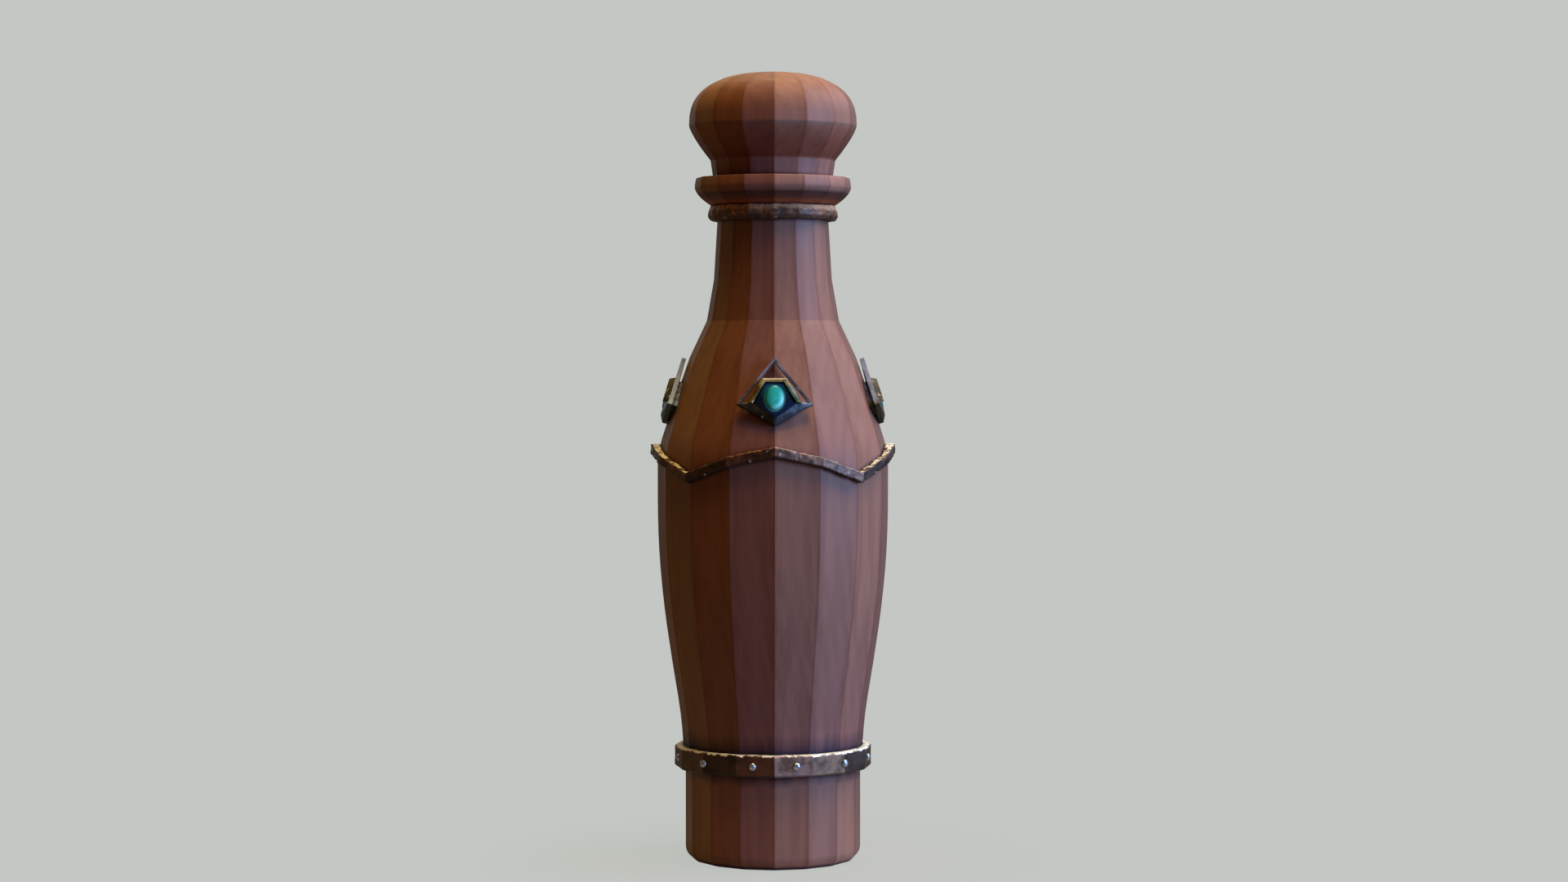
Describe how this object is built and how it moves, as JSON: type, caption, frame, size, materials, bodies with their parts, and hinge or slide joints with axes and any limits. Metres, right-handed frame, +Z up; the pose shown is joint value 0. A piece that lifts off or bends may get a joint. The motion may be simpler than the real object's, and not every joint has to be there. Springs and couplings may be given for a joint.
{
  "type": "stoppered bottle",
  "caption": "Faceted wooden bottle with a glass flask inside, metal bands, stones set in pointed mounts and a lift-out stopper with a broad grip.",
  "frame": {"origin": "centre of the foot's underside, on the bottle's axis", "axes": "+Z up along the bottle's axis, towards the stopper; -Y towards the front mount, which is the side the picture shows; +X towards the mount on the right in the picture"},
  "size_m": [0.0786, 0.0786, 0.2522],
  "materials": {
    "body_wood": "oiled, satin",
    "foot_wood": "oiled, satin",
    "lip_wood": "oiled, satin",
    "head_wood": "oiled, satin",
    "dowel_wood": "bare, matt",
    "cork": "bare cork, matt",
    "flask_glass": "clear, polished",
    "band_bronze": "hammered, aged",
    "rivet_steel": "worn",
    "mount_bronze": "cast, aged",
    "collar_brass": "worn edges",
    "stone_glass": "cut, polished"
  },
  "bodies": {
    "bottle": {"bottle_body": "body_wood", "foot": "foot_wood", "lip_collar": "lip_wood", "flask": "flask_glass", "neck_ring": "band_bronze", "shoulder_band": "band_bronze", "base_band": "band_bronze", "base_band_rivets": "rivet_steel", "mount_front": "mount_bronze", "collar_front": "collar_brass", "stone_front": "stone_glass", "mount_right": "mount_bronze", "collar_right": "collar_brass", "stone_right": "stone_glass", "mount_back": "mount_bronze", "collar_back": "collar_brass", "stone_back": "stone_glass", "mount_left": "mount_bronze", "collar_left": "collar_brass", "stone_left": "stone_glass"},
    "stopper": {"stopper_head": "head_wood", "stopper_dowel": "dowel_wood", "stopper_cork": "cork"}
  },
  "joints": [
    {"name": "stopper_lift", "type": "slide", "parent": "bottle", "child": "stopper", "axis": [0, 0, 1], "range_m": [0, 0.06]}
  ]
}
